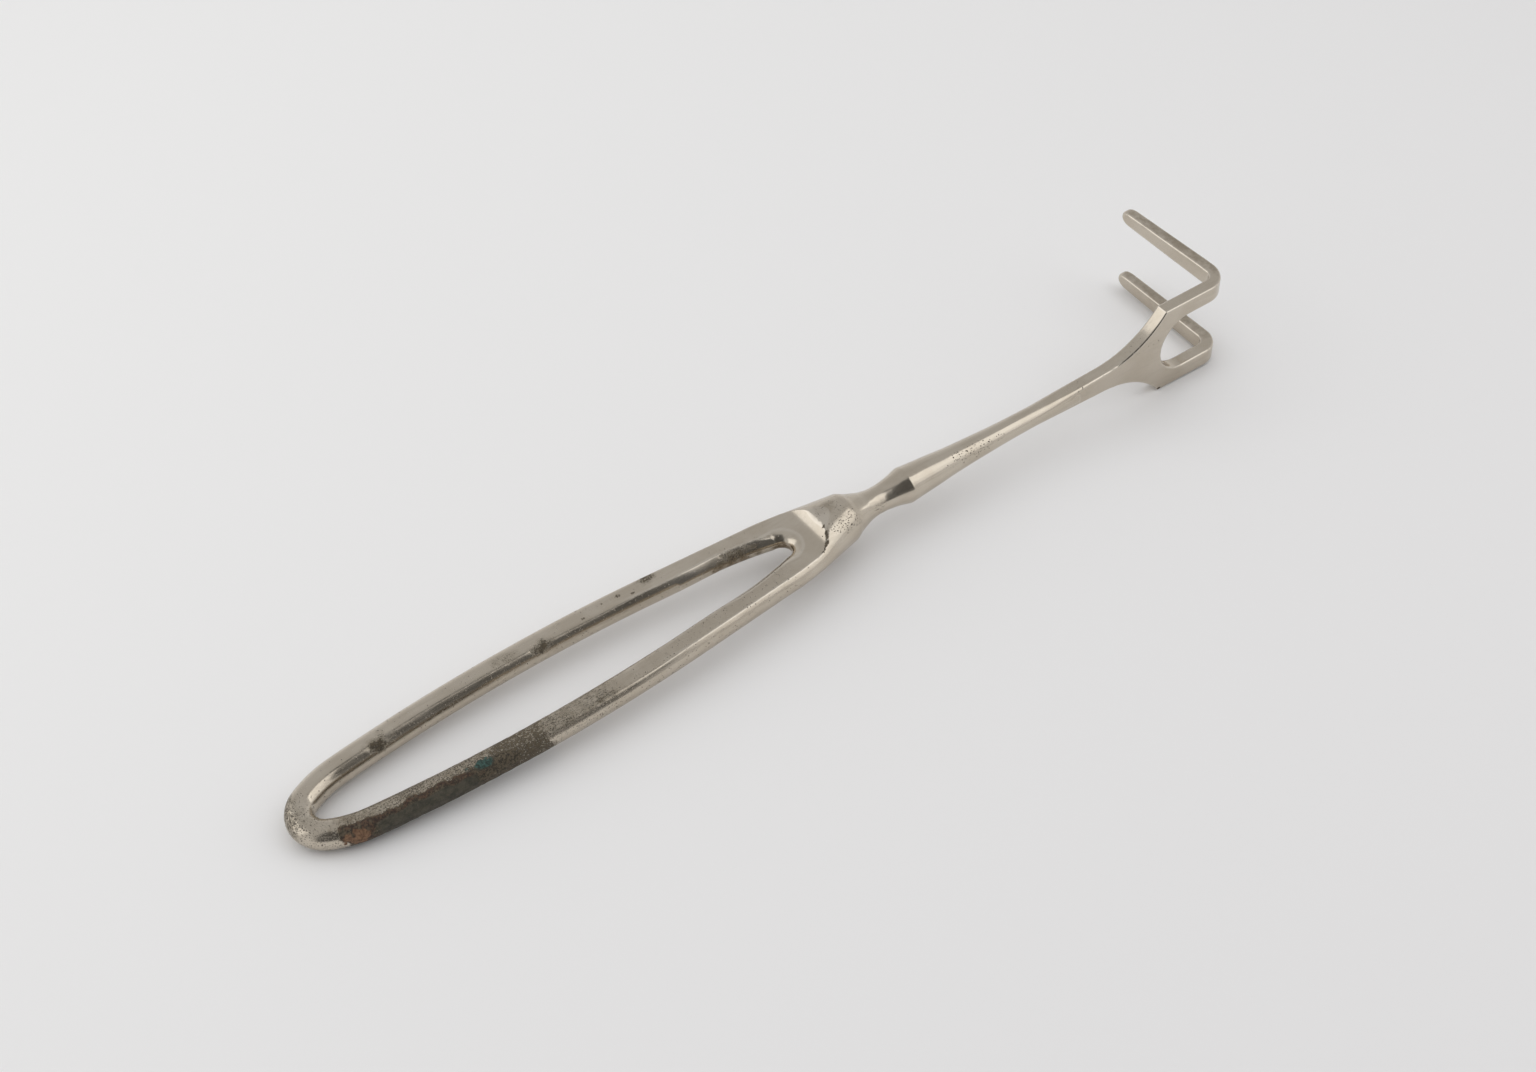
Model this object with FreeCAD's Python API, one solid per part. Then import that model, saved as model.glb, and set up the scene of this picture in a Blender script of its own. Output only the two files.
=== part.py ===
import FreeCAD, Part
import math
import os

# Handheld surgical retractor, forged from one bar of plated steel: a leaf-shaped loop handle,
# a round boss and waist, a slim shank, and a flat fork whose two arms bend into blunt prongs.
# Modelled along its own axis: X from the loop's outer end to the fork, Y the way the prongs
# point, Z across the fork. At the end it is laid down as it rests on a table. Millimetres.

# Handle loop
handle_length = 119.0           # outer end of the loop to the shoulder of the boss
rail_diameter = 5.38
loop_half_width = 8.95          # rail centre line, at the widest place
loop_widest_at = 51.0           # from the outer end
loop_nose_radius = 5.0          # rail centre line round the outer end
loop_nose_sweep = 61.0          # degrees of that arc on each side of the outer end
loop_cheek_radius = 20.0        # rail centre line between the nose and the long sides
entry_half_width = 7.76         # rail centre line, at the start of its straight run to the neck
entry_before_shoulder = 39.0
rail_run = 20.5                 # the straight run
rail_tail_radius = 30.0         # rail centre line where it turns in and ends inside the neck
rail_tail_angle = 14.0
handle_set_angle = 1.52         # the loop stands this many degrees off the shank, away from the prongs

# Neck between the loop and the boss: oval sections, distance before the shoulder, half width, half height
neck_root = (23.0, 8.0, 1.6)
neck_web = (17.0, 8.5, 3.0)
neck_rise = (11.0, 7.9, 3.9)
neck_round = (5.5, 6.45, 4.7)
bridge_length = 12.15           # solid metal between the opening and the shoulder
opening_end_radius = 2.9
opening_half_width = 4.75       # between the rails, at the start of its rounded sides
opening_side_length = 23.0      # from there to the opening's end
opening_edge_chamfer = 0.3

# Milled flats, above and below, with a scooped run-out at the boss
flat_fade_at = 57.0             # from the outer end, where the flats leave the round rail
flat_full_at = 77.0             # from there on they run level to the foot of the scoop
flat_half_thickness = 2.15
scoop_radius = 5.5
scoop_before_shoulder = 11.1

# Boss, waist, collar and shank
boss_radius = 4.95
waist_radius = 2.7
boss_cove_length = 7.8
collar_radius = 3.66
collar_cove_length = 6.2
slim_radius = 2.05
taper_length = 33.0
blend_length = 16.0             # from the round shank to the flat fork

# Fork
plate_thickness = 2.9
flare_start_half_height = 2.2
flare_length = 16.3
fork_half_width = 10.6
arm_height = 3.77
arm_length = 17.6               # fork corner to the outer face of the prongs
bend_outer_radius = 5.2
bend_inner_radius = 2.0
slot_set_back = 0.35            # round base of the gap between the arms, behind the fork corners
edge_ease = 0.4                 # bevel on the fork's edges

# Prongs
prong_reach = 30.9              # outer face of the arms to the prong tips
prong_root_thickness = 2.71
prong_tip_thickness = 2.42
prong_outer_taper = 0.8         # how far the outer edge closes in at the tip
prong_nose_radius = 1.5         # round of the tip seen from the side

# Stations along the axis, worked out from the sizes above
rail_radius = rail_diameter / 2
x_shoulder = handle_length
x_waist = x_shoulder + boss_cove_length
x_collar = x_waist + collar_cove_length
x_slim = x_collar + taper_length
x_flare = x_slim + blend_length
x_corner = x_flare + flare_length
x_end = x_corner + arm_length
x_entry = x_shoulder - entry_before_shoulder
slot_half_height = fork_half_width - arm_height
y_tip = prong_reach - plate_thickness / 2

node_name = "retractor"
X_AXIS = FreeCAD.Vector(1, 0, 0)
Y_AXIS = FreeCAD.Vector(0, 1, 0)
Z_AXIS = FreeCAD.Vector(0, 0, 1)


def vec(x, y=0.0, z=0.0):
    return FreeCAD.Vector(x, y, z)


def line(a, b):
    return Part.LineSegment(a, b).toShape()


def arc(a, middle, b):
    return Part.Arc(a, middle, b).toShape()


def arc_about(centre, a, b):
    """Shorter arc from a to b about a centre."""
    radius = (a - centre).Length
    middle = (a + b) * 0.5 - centre
    middle.normalize()
    return arc(a, centre + middle * radius, b)


def cove_radius(length, depth):
    """Radius of an arc that runs parallel to the axis at one end and rises by depth over length."""
    return (length ** 2 + depth ** 2) / (2 * depth)


def flipped(point):
    return vec(point.x, -point.y, point.z)


def solid_of(wire, direction):
    return Part.Face(wire).extrude(direction)


def set_handle(shape):
    """Turn a handle shape about the shoulder, by the angle at which the loop stands."""
    turned = shape.copy()
    turned.rotate(vec(x_shoulder), Z_AXIS, handle_set_angle)
    return turned


def loop_centre_line():
    """Centre line of the rails: from inside the neck, round the loop and back into the neck."""
    nose_centre = vec(rail_radius + loop_nose_radius)
    sweep = math.radians(loop_nose_sweep)
    nose_way = vec(-math.cos(sweep), math.sin(sweep))
    nose_end = nose_centre + nose_way * loop_nose_radius
    cheek_centre = nose_centre - nose_way * (loop_cheek_radius - loop_nose_radius)
    widest = vec(loop_widest_at, loop_half_width)
    reach = widest - cheek_centre
    front_radius = (reach.Length ** 2 - loop_cheek_radius ** 2) / (2 * (reach.y - loop_cheek_radius))
    front_centre = widest - Y_AXIS * front_radius
    cheek_way = cheek_centre - front_centre
    cheek_way.normalize()
    cheek_end = cheek_centre + cheek_way * loop_cheek_radius
    side_radius = cove_radius(x_entry - loop_widest_at, loop_half_width - entry_half_width)
    side_centre = widest - Y_AXIS * side_radius
    entry = vec(x_entry, entry_half_width)
    outward = entry - side_centre
    outward.normalize()
    run_end = entry + vec(outward.y, -outward.x) * rail_run
    tail_centre = run_end - outward * rail_tail_radius
    tail = FreeCAD.Rotation(Z_AXIS, -rail_tail_angle).multVec(run_end - tail_centre)
    inside = tail_centre + tail
    upper = [arc_about(tail_centre, inside, run_end),
             line(run_end, entry),
             arc_about(side_centre, entry, widest),
             arc_about(front_centre, widest, cheek_end),
             arc_about(cheek_centre, cheek_end, nose_end)]
    nose = arc(nose_end, vec(rail_radius), flipped(nose_end))
    lower = [arc_about(flipped(cheek_centre), flipped(nose_end), flipped(cheek_end)),
             arc_about(flipped(front_centre), flipped(cheek_end), flipped(widest)),
             arc_about(flipped(side_centre), flipped(widest), flipped(entry)),
             line(flipped(entry), flipped(run_end)),
             arc_about(flipped(tail_centre), flipped(run_end), flipped(inside))]
    return Part.Wire(upper + [nose] + lower), inside, tail


def rails():
    spine, start, radial = loop_centre_line()
    along = vec(-radial.y, radial.x)
    section = Part.Wire(Part.Circle(start, along, rail_radius).toShape())
    return spine.makePipeShell([section], True, False)


def oval(station):
    before, half_width, half_height = station
    centre = vec(x_shoulder - before)
    curve = Part.Ellipse(centre + Y_AXIS * half_width, centre + Z_AXIS * half_height, centre)
    return Part.Wire(curve.toShape())


def neck():
    """Oval sections set with the handle, closing to the round shoulder of the boss."""
    sections = [set_handle(oval(s)) for s in (neck_root, neck_web, neck_rise, neck_round)]
    round_end = Part.Circle(vec(x_shoulder), X_AXIS, boss_radius).toShape()
    sections.append(Part.Wire(round_end))
    return Part.makeLoft(sections, True, False)


def opening_outline(height, grow):
    """Neck end of the finger opening: parallel sides, then long arcs that run into the round end."""
    x_end_wall = x_shoulder - bridge_length
    x_round = x_end_wall - opening_end_radius
    x_open = x_end_wall - opening_side_length
    run = x_round - x_open
    side_radius = (run ** 2 + opening_half_width ** 2 - opening_end_radius ** 2) / (
        2 * (opening_half_width - opening_end_radius))
    round_centre = vec(x_round)
    side_centre = vec(x_open, opening_half_width - side_radius)
    way = round_centre - side_centre
    way.normalize()
    touch = round_centre + way * (opening_end_radius + grow)
    start = vec(x_open, opening_half_width + grow)
    back = vec(x_open - opening_half_width, opening_half_width + grow)
    tip = round_centre + X_AXIS * (opening_end_radius + grow)
    edges = [line(flipped(back), back), line(back, start), arc_about(side_centre, start, touch),
             arc(touch, tip, flipped(touch)), arc_about(flipped(side_centre), flipped(touch), flipped(start)),
             line(flipped(start), flipped(back))]
    outline = Part.Wire(edges)
    outline.translate(Z_AXIS * height)
    return outline


def opening():
    """Cutter for the opening, with its top and bottom edges bevelled."""
    reach = rail_diameter
    through = solid_of(opening_outline(-reach, 0), Z_AXIS * (2 * reach))
    low = flat_half_thickness - opening_edge_chamfer
    bevel = Part.makeLoft([opening_outline(low, 0), opening_outline(low + reach, reach)], True, True)
    return through.fuse(bevel).fuse(bevel.mirror(vec(0), Z_AXIS))


def flat_cutter():
    """Cutter above the handle: a flat that dips in, runs level and ends in a round scoop at the boss."""
    foot = vec(x_shoulder - scoop_before_shoulder, 0, flat_half_thickness)
    fade = vec(flat_fade_at, 0, rail_radius)
    full = vec(flat_full_at, 0, flat_half_thickness)
    centre = foot + Z_AXIS * scoop_radius
    side = centre + X_AXIS * scoop_radius
    half_way = math.sqrt(0.5) * scoop_radius
    bend = centre + vec(half_way, 0, -half_way)
    back = vec(fade.x, 0, centre.z)
    edges = [line(fade, full), line(full, foot), arc(foot, bend, side), line(side, back),
             line(back, fade)]
    cutter = solid_of(Part.Wire(edges), Y_AXIS * (4 * loop_half_width))
    cutter.translate(Y_AXIS * (-2 * loop_half_width))
    return cutter


def handle():
    body = set_handle(rails()).fuse(neck())
    top = flat_cutter()
    bottom = top.mirror(vec(0), Z_AXIS)
    for cutter in (opening(), top, bottom):
        body = body.cut(set_handle(cutter))
    return body


def turned_stem():
    """Boss cove, waist, collar and tapering shank as one revolved profile."""
    def cove(x_foot, r_foot, x_top, r_top):
        radius = cove_radius(abs(x_top - x_foot), r_top - r_foot)
        x_mid = (x_foot + x_top) / 2
        r_mid = r_foot + radius - math.sqrt(radius ** 2 - (x_mid - x_foot) ** 2)
        return vec(x_mid, r_mid)

    boss = vec(x_shoulder, boss_radius)
    waist = vec(x_waist, waist_radius)
    collar = vec(x_collar, collar_radius)
    slim = vec(x_slim, slim_radius)
    edges = [line(vec(x_shoulder), boss),
             arc(boss, cove(x_waist, waist_radius, x_shoulder, boss_radius), waist),
             arc(waist, cove(x_waist, waist_radius, x_collar, collar_radius), collar),
             arc(collar, cove(x_slim, slim_radius, x_collar, collar_radius), slim),
             line(slim, vec(x_slim)),
             line(vec(x_slim), vec(x_shoulder))]
    return Part.Face(Part.Wire(edges)).revolve(vec(0), X_AXIS, 360)


def rounded_section(x, half_y, half_z, corner):
    """Rectangle with round corners across the axis, from the middle of its +Y side."""
    def at(y, z):
        return vec(x, y, z)

    def corner_arc(sy, sz):
        centre = at(sy * (half_y - corner), sz * (half_z - corner))
        side = centre + Y_AXIS * (sy * corner)
        top = centre + Z_AXIS * (sz * corner)
        return side, arc_about(centre, side, top), top

    edges = []
    for sy, sz in ((1, 1), (-1, 1), (-1, -1), (1, -1)):
        side, bend, top = corner_arc(sy, sz)
        if sy == sz:
            edges.append(line(at(sy * half_y, 0), side))
            edges.append(bend)
            edges.append(line(top, at(0, sz * half_z)))
        else:
            edges.append(line(at(0, sz * half_z), top))
            edges.append(bend)
            edges.append(line(side, at(sy * half_y, 0)))
    return Part.Wire(edges)


def shank_blend():
    """Round shank into the flat fork: both ends are rounded squares, the first all but a circle."""
    almost_round = slim_radius * 0.985
    start = rounded_section(x_slim, slim_radius, slim_radius, almost_round)
    end = rounded_section(x_flare, plate_thickness / 2, flare_start_half_height, edge_ease)
    return Part.makeLoft([start, end], True, True)


def tangent_point(outside, centre, radius, side):
    """Where a line from a point outside touches a circle in the XY plane; side is 1 or -1."""
    away = outside - centre
    turn = side * math.degrees(math.acos(radius / away.Length))
    away.normalize()
    return centre + FreeCAD.Rotation(Z_AXIS, turn).multVec(away) * radius


def bent_strip():
    """Side view of the fork: the flat plate, its right-angle bend and a prong, across the whole width."""
    back = -plate_thickness / 2
    front = plate_thickness / 2
    outer_centre = vec(x_end - bend_outer_radius, back + bend_outer_radius)
    inner_centre = vec(x_end - prong_root_thickness - bend_inner_radius, front + bend_inner_radius)
    tip_outer = vec(x_end, y_tip)
    tip_inner = vec(x_end - prong_tip_thickness, y_tip)
    inner_touch = tangent_point(tip_inner, inner_centre, bend_inner_radius, -1)
    edges = [line(vec(x_flare, front), vec(x_flare, back)),
             line(vec(x_flare, back), vec(outer_centre.x, back)),
             arc_about(outer_centre, vec(outer_centre.x, back), vec(x_end, outer_centre.y)),
             line(vec(x_end, outer_centre.y), tip_outer),
             line(tip_outer, tip_inner),
             line(tip_inner, inner_touch),
             arc_about(inner_centre, inner_touch, vec(inner_centre.x, front)),
             line(vec(inner_centre.x, front), vec(x_flare, front))]
    strip = solid_of(Part.Wire(edges), Z_AXIS * (2 * fork_half_width))
    strip.translate(Z_AXIS * -fork_half_width)
    return strip


def fork_outline():
    """Front view of the fork: flared sides to sharp corners, square beyond them."""
    radius = cove_radius(flare_length, fork_half_width - flare_start_half_height)
    x_mid = x_flare + flare_length / 2
    rise = radius - math.sqrt(radius ** 2 - (x_mid - x_flare) ** 2)
    past = x_end + plate_thickness

    def side(s):
        start = vec(x_flare, 0, s * flare_start_half_height)
        middle = vec(x_mid, 0, s * (flare_start_half_height + rise))
        corner = vec(x_corner, 0, s * fork_half_width)
        return [arc(start, middle, corner), line(corner, vec(past, 0, s * fork_half_width))]

    edges = side(1) + side(-1)
    edges.append(line(vec(x_flare, 0, -flare_start_half_height), vec(x_flare, 0, flare_start_half_height)))
    edges.append(line(vec(past, 0, -fork_half_width), vec(past, 0, fork_half_width)))
    plate = solid_of(Part.Wire(Part.__sortEdges__(edges)), Y_AXIS * (2 * prong_reach))
    plate.translate(Y_AXIS * -prong_reach)
    return plate


def slot():
    """The gap between the arms and between the prongs, with a full round base."""
    centre = vec(x_corner - slot_set_back + slot_half_height)
    past = x_end + plate_thickness
    low = vec(centre.x, 0, -slot_half_height)
    high = vec(centre.x, 0, slot_half_height)
    edges = [arc(low, centre - X_AXIS * slot_half_height, high),
             line(high, vec(past, 0, slot_half_height)),
             line(vec(past, 0, slot_half_height), vec(past, 0, -slot_half_height)),
             line(vec(past, 0, -slot_half_height), low)]
    cutter = solid_of(Part.Wire(edges), Y_AXIS * (4 * prong_reach))
    cutter.translate(Y_AXIS * (-2 * prong_reach))
    return cutter


def prong_trim():
    """Cutters seen from the end: the outer edges of the prongs close in and their tips are round."""
    y_start = bend_outer_radius
    tip_z = fork_half_width - prong_outer_taper
    tip_radius = (tip_z - slot_half_height) / 2
    y_round = y_tip - tip_radius
    y_past = y_tip + plate_thickness
    z_past = fork_half_width + plate_thickness
    z_inside = slot_half_height - tip_radius
    shapes = []
    for s in (1, -1):
        def at(y, z):
            return vec(x_corner, y, s * z)
        edges = [line(at(y_start, fork_half_width), at(y_round, tip_z)),
                 arc(at(y_round, tip_z), at(y_tip, tip_z - tip_radius), at(y_round, slot_half_height)),
                 line(at(y_round, slot_half_height), at(y_round, z_inside)),
                 line(at(y_round, z_inside), at(y_past, z_inside)),
                 line(at(y_past, z_inside), at(y_past, z_past)),
                 line(at(y_past, z_past), at(y_start, z_past)),
                 line(at(y_start, z_past), at(y_start, fork_half_width))]
        shapes.append(solid_of(Part.Wire(edges), X_AXIS * (2 * arm_length)))
    return shapes


def fork():
    """The flat fork with its arms and prongs, edges eased."""
    body = bent_strip().common(fork_outline()).cut(slot())
    for trim in prong_trim():
        body = body.cut(trim)
    return ease_edges(body.removeSplitter()).cut(nose_trim())


def ease_edges(body):
    """Small bevels on every edge of the fork but those of its joint to the shank."""
    chosen = [edge for edge in body.Edges if edge.BoundBox.XMax > x_flare + edge_ease
              and not smooth(body, edge)]
    return body.makeChamfer(edge_ease, chosen)


def nose_trim():
    """Cutter that leaves the prong tips round when seen from the side."""
    middle = vec(x_end - prong_tip_thickness / 2, y_tip - prong_nose_radius, -fork_half_width)
    width = 4 * prong_nose_radius
    block = Part.makeBox(width, width, 2 * fork_half_width, middle - X_AXIS * (width / 2))
    return block.cut(Part.makeCylinder(prong_nose_radius, 2 * fork_half_width, middle))


def smooth(body, edge):
    """Whether the two faces at an edge run into each other without a corner."""
    middle = edge.valueAt(edge.getParameterByLength(edge.Length / 2))
    normals = [face.normalAt(*face.Surface.parameter(middle))
               for face in body.ancestorsOfType(edge, Part.Face)]
    return len(normals) < 2 or abs(normals[0].dot(normals[1])) > 0.98


def resting_pose(body):
    """Rotation that lays the part down as it rests: on the loop's round end and a corner of the fork."""
    mass_centre = body.CenterOfMass
    turn = FreeCAD.Rotation(Z_AXIS, handle_set_angle)
    shoulder = vec(x_shoulder)
    nose = shoulder + turn.multVec(vec(rail_radius + loop_nose_radius) - shoulder)
    feet = [corner.Point for corner in body.Vertexes if corner.Point.x > x_flare]

    def mass_height(pitch, roll):
        pose = FreeCAD.Rotation(Y_AXIS, -pitch).multiply(FreeCAD.Rotation(X_AXIS, -roll))
        up = pose.inverted().multVec(Z_AXIS)
        ring = up.dot(nose) - loop_nose_radius * math.hypot(up.x, up.y) - rail_radius
        lowest = min([ring] + [up.dot(foot) for foot in feet])
        return up.dot(mass_centre) - lowest, pose

    pitch, roll, step = 2.0, 0.5, 1.0
    while step > 1e-5:
        here = mass_height(pitch, roll)[0]
        moves = [(pitch + a * step, roll + b * step) for a in (-1, 0, 1) for b in (-1, 0, 1)]
        best = min(moves, key=lambda m: mass_height(*m)[0])
        if mass_height(*best)[0] < here:
            pitch, roll = best
        else:
            step = step / 2
    print("rest: pitch %.3f, roll %.3f degrees" % (pitch, roll))
    return mass_height(pitch, roll)[1]


def laid_down(body):
    """The part at rest, its origin under the middle of its box, on the table."""
    pose = resting_pose(body)
    resting = body.copy()
    resting.rotate(vec(0), pose.Axis, math.degrees(pose.Angle))
    box = resting.optimalBoundingBox(False, False)
    resting.translate(vec(-(box.XMin + box.XMax) / 2, -(box.YMin + box.YMax) / 2, -box.ZMin))
    return resting


def retractor():
    body = handle()
    for piece in (turned_stem(), shank_blend(), fork()):
        body = body.fuse(piece)
    return body.removeSplitter().Solids[0]


def main():
    os.makedirs("parts", exist_ok=True)
    part = laid_down(retractor())
    box = part.optimalBoundingBox(False, False)
    print(part.isValid(), len(part.Solids), "solid, volume", round(part.Volume, 1), "box",
          [round(v, 3) for v in (box.XMin, box.XMax, box.YMin, box.YMax, box.ZMin, box.ZMax)])
    part.exportStep("parts/%s.step" % node_name)


main()
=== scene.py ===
import math

import bpy
import numpy as np
from mathutils import Matrix, Vector


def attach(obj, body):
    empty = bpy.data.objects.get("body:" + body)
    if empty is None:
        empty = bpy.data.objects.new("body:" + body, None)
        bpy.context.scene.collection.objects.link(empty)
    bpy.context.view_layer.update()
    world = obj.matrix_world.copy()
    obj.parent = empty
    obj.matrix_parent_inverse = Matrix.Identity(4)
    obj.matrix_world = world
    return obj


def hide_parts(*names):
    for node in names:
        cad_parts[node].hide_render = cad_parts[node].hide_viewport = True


# Handheld surgical retractor. The shape is one smooth solid written as a distance function in
# millimetres along the instrument's own axis (X from the loop to the fork, Y the way the prongs
# point, Z across the fork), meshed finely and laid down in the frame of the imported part.

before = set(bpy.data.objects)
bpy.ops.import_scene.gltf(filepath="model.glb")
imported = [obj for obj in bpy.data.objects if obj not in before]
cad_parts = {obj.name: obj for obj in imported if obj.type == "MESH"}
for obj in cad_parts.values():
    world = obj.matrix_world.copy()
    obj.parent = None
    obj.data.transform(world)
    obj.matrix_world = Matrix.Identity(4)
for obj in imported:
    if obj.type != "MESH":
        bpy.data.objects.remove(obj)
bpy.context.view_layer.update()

# The pose at rest: how far the instrument is pitched and rolled in degrees, and its shift in millimetres
PITCH, ROLL = math.radians(2.3125), math.radians(0.08844)
SHIFT = np.array([-108.08642, -7.95219, 2.57547])

# Handle: the shoulder that it is set on at a small angle, and the radius of its rails
X_SHOULDER, SET_ANGLE = 119.0, math.radians(1.52)
RAIL_R = 2.69
# The rails' centre line: greatest half width and its station, nose and cheek, the straight run from
# its entry on, and the arc at its end (radius, degrees)
HALF_WIDTH, WIDEST_AT = 8.95, 51.0
NOSE_R, NOSE_SWEEP, CHEEK_R = 5.0, 61.0, 20.0
ENTRY_X, ENTRY_HALF, RAIL_RUN = 80.0, 7.76, 20.5
TAIL_R, TAIL_ANGLE = 30.0, 14.0
# Neck: station, half width, half height; where its oval begins and ends, and how far its end is eased
NECK = np.array([(88.0, 7.0, 0.5), (96.0, 8.0, 1.6), (102.0, 8.5, 3.0), (108.0, 7.9, 3.9),
                 (113.5, 6.45, 4.7), (119.0, 5.0, 5.0), (124.0, 4.0, 5.0)])
NECK_FROM, NECK_END, NECK_EASE = 88.0, 119.3, 0.75
# Web between the rails: half height at its start and what it gains, half width, first and last station
WEB_HALF, WEB_GAIN, WEB_WIDTH, WEB_FROM, WEB_TO = 0.9, 1.3, 6.6, 84.0, 106.0
# Where along the handle it gains that height; its fillet to the rails, and the neck's
WEB_RISE, WEB_FILLET, NECK_FILLET = (86.0, 98.0), 0.5, 0.9
# Opening at the neck: centre and radius of its round end, where it starts to cut; station, half width
END_X, END_R, CUT_FROM = 104.05, 2.9, 82.0
OPENING = np.array([(60.0, 6.5), (84.0, 5.45), (93.5, 4.84), (100.0, 3.8), (END_X, END_R)])
# How far its walls stand in at mid height, and back at the height of the flats; where that grows
BULGE, SPREAD, SPREAD_GAIN, SPREAD_RISE = 0.93, 1.25, 0.3, (84.0, 92.0)
# Rounding of its edge, what it gains towards the round end, and where
HOLE_EASE, HOLE_GAIN, HOLE_RISE = 0.12, 0.85, (100.5, 105.0)
# Milled flats: height where they run level; station, height. Scoop: station of its centre, radius
FLAT_Z = 2.15
FLAT = np.array([(30.0, 3.3), (50.0, 2.82), (60.0, 2.55), (70.0, 2.27), (80.0, 2.16), (95.0, FLAT_Z),
                 (107.9, FLAT_Z), (125.0, FLAT_Z)])
SCOOP_X, SCOOP_R = 107.9, 5.5
# Rounding of their edge, what it gains where they leave the rails, and where; where they run out
FLAT_EASE, FLAT_GAIN, FLAT_FADE, RUN_OUT = 0.08, 0.9, (58.0, 80.0), (104.0, 116.0)
# Turned stem: station, radius; first and last station that it is used at
STEM = np.array([(117.0, 5.25), (118.0, 5.1), (119.0, 4.95), (120.5, 4.22), (122.0, 3.62), (124.0, 2.98),
                 (126.0, 2.71), (127.0, 2.71), (129.0, 2.87), (131.0, 3.2), (132.6, 3.62),
                 (133.3, 3.74), (134.0, 3.68), (136.0, 3.5), (140.0, 3.2), (144.0, 2.84), (148.0, 2.6),
                 (152.0, 2.41), (156.0, 2.24), (160.0, 2.13), (164.0, 2.08), (168.0, 2.05), (184.0, 2.05)])
STEM_FROM, STEM_TO = 118.6, 176.0
# Shank and fork plate: station, half thickness, half height, corner radius; first and last station
BLEND = np.array([(150.0, 2.05, 2.05, 2.04), (164.0, 2.06, 2.06, 2.04), (170.0, 1.92, 2.08, 1.5),
                  (174.0, 1.74, 2.13, 1.0), (178.0, 1.58, 2.22, 0.65), (182.0, 1.47, 2.36, 0.44),
                  (184.0, 1.45, 2.46, 0.42), (186.0, 1.45, 2.75, 0.42), (230.0, 1.45, 2.75, 0.42)])
SHANK_FROM, SHANK_TO = 164.0, 186.0
# Fork: first station; start, half height and radius of its flare; half height across the arms
FORK_FROM, X_FLARE, FLARE_HALF, FLARE_R, FORK_HALF = 183.0, 182.0, 2.36, 20.0, 10.6
# Slot: half width, centre of its round end. Plate: outer face of the prongs, half thickness
SLOT_HALF, SLOT_X = 6.83, 204.78
X_END, PLATE_HALF = 215.9, 1.45
# Prongs: radii of the bends outside (upper, lower) and inside, tips (upper, lower), thickness at the
# root and at the tip, and how much narrower the tip is
BEND_OUT_UP, BEND_OUT_LOW, BEND_IN = 5.7, 4.9, 2.0
TIP_UP, TIP_LOW = 29.85, 29.25
ROOT_THICK, TIP_THICK, OUTER_TAPER = 2.71, 2.42, 0.8
# Rounding of the fork's edges, what it gains towards the tips, and where, measured back from the tip
EASE, TIP_EASE, TIP_RISE = 0.42, 0.45, (2.6, 0.6)


# Distance functions

def curve_through(table, column=1):
    """Smooth curve through the stations of a table, without overshoot."""
    xs, ys = table[:, 0], table[:, column]
    step = np.diff(xs)
    rise = np.diff(ys) / step
    slope = np.zeros(len(xs))
    for i in range(1, len(xs) - 1):
        if rise[i - 1] * rise[i] > 0:
            w1, w2 = 2 * step[i] + step[i - 1], step[i] + 2 * step[i - 1]
            slope[i] = (w1 + w2) / (w1 / rise[i - 1] + w2 / rise[i])
    slope[0], slope[-1] = rise[0], rise[-1]

    def at(x):
        i = np.clip(np.searchsorted(xs, x) - 1, 0, len(step) - 1)
        t = np.clip((x - xs[i]) / step[i], 0, 1)
        a, b = ys[i], ys[i + 1]
        return ((1 + 2 * t) * (1 - t) ** 2 * a + t * (1 - t) ** 2 * step[i] * slope[i]
                + t * t * (3 - 2 * t) * b + t * t * (t - 1) * step[i] * slope[i + 1])
    return at


def eased_max(a, b, r):
    """Both at once, with the edge between them rounded by r."""
    return np.minimum(np.maximum(a, b), -r) + np.hypot(np.maximum(a + r, 0), np.maximum(b + r, 0))


def blended_min(a, b, k):
    """Either of two bodies, with a fillet of about k between them."""
    h = np.clip(0.5 + 0.5 * (b - a) / k, 0, 1)
    return b + (a - b) * h - k * h * (1 - h)


def ramp(x, a, b):
    """Smooth step from 0 at a to 1 at b."""
    t = np.clip((x - a) / (b - a), 0, 1)
    return t * t * (3 - 2 * t)


def rounded(qx, qy, r):
    """Distance to a corner of radius r; qx and qy run outwards from its centre."""
    return np.hypot(np.maximum(qx, 0), np.maximum(qy, 0)) + np.minimum(np.maximum(qx, qy), 0) - r


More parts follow.
